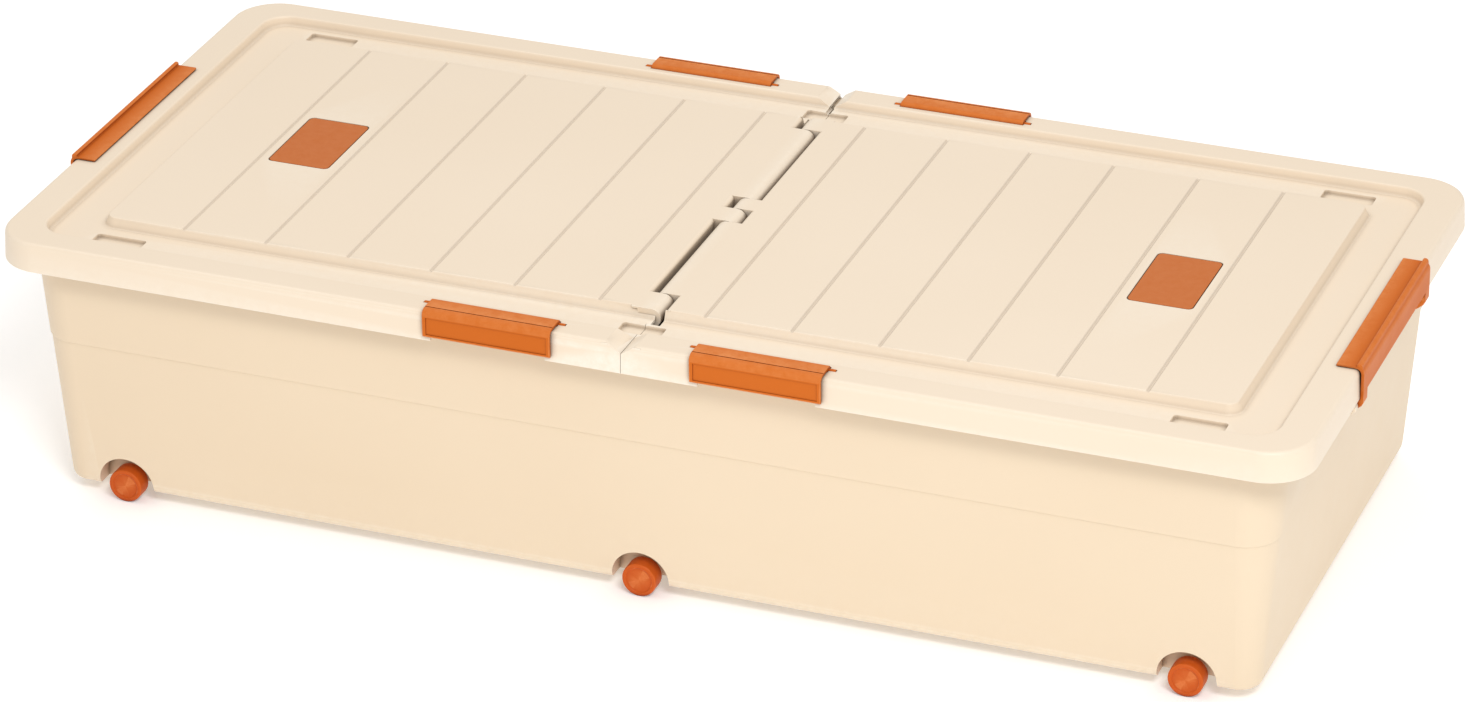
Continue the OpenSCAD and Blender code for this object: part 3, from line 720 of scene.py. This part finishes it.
def make_axle():
    """An axle at the back middle place, with the groove that the wheel's bead snaps into."""
    start, end = BOSS_IN + 2.2, WHEEL_FACE - 3.3
    groove_from = WHEEL_FACE - WHEEL_W + BEAD_AT - BEAD_H - 0.2
    groove_to = groove_from + BEAD_W + 2 * (BEAD_H + 0.2)
    neck = 2.5 - BEAD_H
    return turned("axle", "Y", (0, WHEEL_Z), [
        (2.2, start), (2.5, start + 0.3), (2.5, groove_from - 0.1), (neck, groove_from + 0.1),
        (neck, groove_to - 0.1), (2.5, groove_to + 0.1), (2.5, end - 0.4), (2.1, end)])


# ---------------------------------------------------------------- assembly

def build():
    tub = make_tub()
    finish_piece(tub, CREAM_TUB, "tub", "tub", "tub")
    left = make_lid_half([(SEAMS[i], SEAMS[i + 1]) for i in (0, 2, 4)], (-PIN_END - 0.5, LY))
    left.name = "lid_half_left"
    right_spans = [(-SEAMS[i + 1], -SEAMS[i]) for i in (1, 3, 5)]
    turned_right = make_lid_half(right_spans, (-LY, PIN_END + 0.5))
    right = flipped(turned_right, "lid_half_right", -1, -1)
    bpy.data.objects.remove(turned_right)
    for obj, side in ((left, "left"), (right, "right")):
        finish_piece(obj, CREAM_LID, "lid_" + side, "lid", "lid_" + side)
    tub.name = "tub_shell"

    side_latch = make_side_latch()
    for row, sy in (("front", -1), ("back", 1)):
        for side, sx in (("left", -1), ("right", 1)):
            name = "latch_%s_%s" % (row, side)
            finish_piece(flipped(side_latch, name + "_clip", sx, sy), LATCH_ORANGE, name, "latch", name)
    end_latch = make_end_latch()
    for side, sx in (("left", -1), ("right", 1)):
        name = "latch_end_" + side
        finish_piece(flipped(end_latch, name + "_clip", sx, 1), LATCH_ORANGE, name, "latch", name)
    inlay = make_inlay()
    for side, sx in (("left", -1), ("right", 1)):
        finish_piece(flipped(inlay, "inlay_" + side, sx, 1), INLAY_BROWN, "lid_" + side, "inlay",
                     "insert_" + side)
    wheel, axle = make_wheel(), make_axle()
    for row, place_name, x, side in WHEEL_PLACES:
        name = "%s_%s" % (row, place_name)
        for source, word, material, body, slot in ((wheel, "wheel_", WHEEL_ORANGE, "wheel_" + name, "wheel"),
                                                   (axle, "axle_", WIRE, "tub", "steel")):
            piece = flipped(source, word + name + "_turned", 1, side)
            piece.data.transform(Matrix.Translation((x, 0, 0)))
            finish_piece(piece, material, body, slot, word + name)
    pin = rod("hinge_wire", "Y", (0, AXIS_Z), 2.0, -PIN_END, PIN_END, 0.4)
    finish_piece(pin, WIRE, "hinge", "steel", "hinge_pin")
    for source in (side_latch, end_latch, inlay, wheel, axle):
        bpy.data.objects.remove(source)


# ---------------------------------------------------------------- stage

def backdrop():
    """A wide white floor that glows a little, so that it stays white round the box."""
    floor = loft("floor", [oblong(60, 60, 20, 0.0, steps=8), oblong(59, 59, 20, -0.01, steps=8)])
    material = bpy.data.materials.new("floor_paper")
    material.use_nodes = True
    shader = material.node_tree.nodes["Principled BSDF"]
    shader.inputs["Base Color"].default_value = (0.95, 0.95, 0.95, 1)
    shader.inputs["Roughness"].default_value = 0.9
    shader.inputs["Emission Color"].default_value = (1, 1, 1, 1)
    shader.inputs["Emission Strength"].default_value = 0.22
    floor.data.materials.append(material)


def softbox(name, place_at, target, size, power, colour=(1, 1, 1)):
    light = bpy.data.lights.new(name, "AREA")
    light.shape, light.size, light.size_y = "RECTANGLE", size[0], size[1]
    light.energy, light.color = power, colour
    obj = bpy.data.objects.new(name, light)
    bpy.context.scene.collection.objects.link(obj)
    obj.location = place_at
    obj.rotation_mode = "QUATERNION"
    obj.rotation_quaternion = (Vector(target) - Vector(place_at)).to_track_quat("-Z", "Y")


def lighting():
    bpy.context.scene.view_settings.view_transform = "Standard"
    world = bpy.data.worlds.new("studio")
    bpy.context.scene.world = world
    world.use_nodes = True
    world.node_tree.nodes["Background"].inputs["Color"].default_value = (1.0, 0.99, 0.97, 1)
    world.node_tree.nodes["Background"].inputs["Strength"].default_value = 0.58
    softbox("key", (1.7, -2.4, 3.1), (0.1, 0, 0.1), (1.4, 1.0), 74)
    softbox("top", (-0.8, 0.6, 3.4), (0, 0, 0.15), (3.0, 2.0), 26)


def camera():
    """The photograph's view: about 21 degrees right of the front and 27.5 degrees down."""
    data = bpy.data.cameras.new("camera")
    data.sensor_width, data.lens = 36.0, 145.07
    data.clip_start, data.clip_end = 0.1, 200.0
    obj = bpy.data.objects.new("camera", data)
    bpy.context.scene.collection.objects.link(obj)
    azimuth, elevation, roll = math.radians(21.311), math.radians(27.518), math.radians(-0.617)
    back = Vector((math.sin(azimuth) * math.cos(elevation), -math.cos(azimuth) * math.cos(elevation),
                   math.sin(elevation)))
    right = Vector((math.cos(azimuth), math.sin(azimuth), 0.0))
    up = back.cross(right)
    tilted_right = right * math.cos(roll) + up * math.sin(roll)
    tilted_up = up * math.cos(roll) - right * math.sin(roll)
    turn = Matrix((tilted_right, tilted_up, back)).transposed()
    obj.matrix_world = Matrix.Translation((1.3477, -3.4614, 2.0312)) @ turn.to_4x4()
    bpy.context.scene.camera = obj


build()
backdrop()
lighting()
camera()
